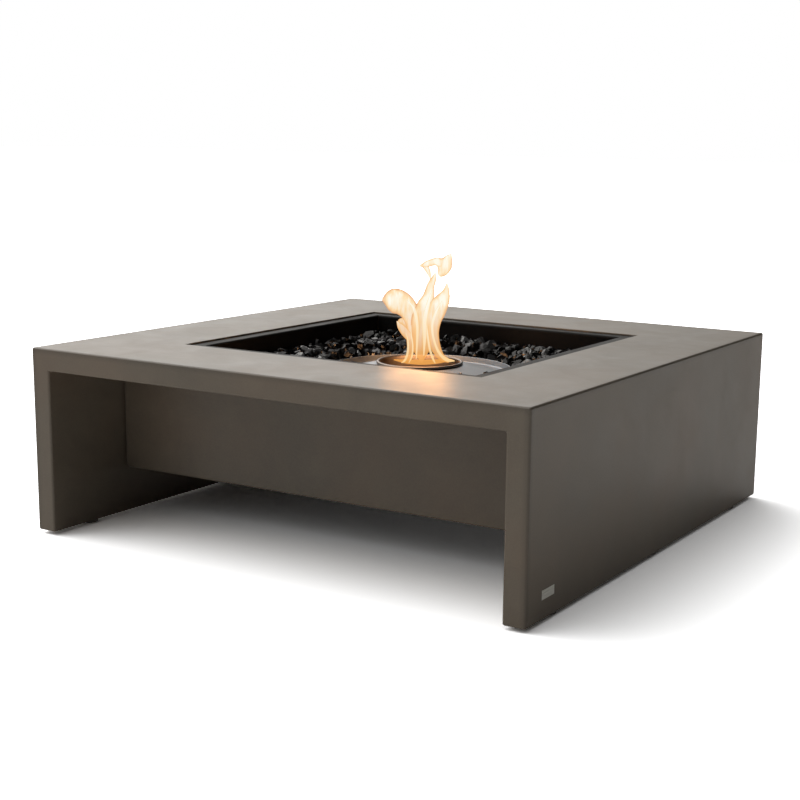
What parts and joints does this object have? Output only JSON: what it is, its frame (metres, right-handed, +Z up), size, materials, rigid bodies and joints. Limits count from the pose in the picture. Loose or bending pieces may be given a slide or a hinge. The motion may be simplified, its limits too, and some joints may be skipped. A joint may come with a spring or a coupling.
{
  "type": "fire pit table",
  "caption": "Low square concrete fire-pit table with two side legs, recessed aprons, a drop-in steel tray of black fire glass and a lift-out round burner with a perforated grate.",
  "frame": {"origin": "middle of the footprint, on the surface that the foot pads stand on", "axes": "+Z up; +X to the right along the front; +Y from the front to the back"},
  "size_m": [1, 1, 0.34],
  "materials": {
    "concrete": "cast concrete, grey-brown, sealed satin with soft mottling",
    "black_steel": "satin black heat-proof coating on folded steel",
    "stainless": "spun stainless steel, fine brushed, slightly warmed by heat",
    "grate_steel": "perforated stainless steel, heat-tinted",
    "fire_glass": "opaque black tumbled glass, glossy",
    "zinc_steel": "zinc-plated fastener, satin",
    "brass": "machined brass",
    "rubber": "moulded rubber, matt",
    "badge_metal": "blank brushed plate with a raised border",
    "tape": "adhesive foam tape",
    "wool": "ceramic wool, matt fibrous",
    "ceramic_spacer": "unglazed ceramic"
  },
  "bodies": {
    "table": {"concrete_body": "concrete", "front_apron": "concrete", "rear_apron": "concrete", "apron_brackets": "black_steel", "slab_inserts": "brass", "slab_screws": "zinc_steel", "apron_inserts": "brass", "apron_screws": "zinc_steel", "foot_pads": "rubber", "foot_inserts": "brass", "foot_screws": "zinc_steel", "badge_plate": "badge_metal", "badge_adhesive": "tape", "flange_gasket": "rubber"},
    "tray": {"fire_tray": "black_steel", "pan_stiffeners": "black_steel", "glass_guard": "black_steel", "burner_well": "black_steel", "well_bolts": "zinc_steel", "well_nuts": "zinc_steel", "fire_glass": "fire_glass"},
    "burner": {"burner_dish": "stainless", "burner_collar": "stainless", "burner_can": "stainless", "burner_base": "stainless", "fuel_reservoir": "stainless", "reservoir_spacers": "ceramic_spacer", "fuel_wool": "wool"},
    "grate": {"flame_grate": "grate_steel"}
  },
  "joints": [
    {"name": "tray_lift", "type": "slide", "parent": "table", "child": "tray", "axis": [0, 0, 1], "range_m": [0, 0.24]},
    {"name": "burner_lift", "type": "slide", "parent": "tray", "child": "burner", "axis": [0, 0, 1], "range_m": [0, 0.2]},
    {"name": "grate_lift", "type": "slide", "parent": "burner", "child": "grate", "axis": [0, 0, 1], "range_m": [0, 0.08]}
  ]
}
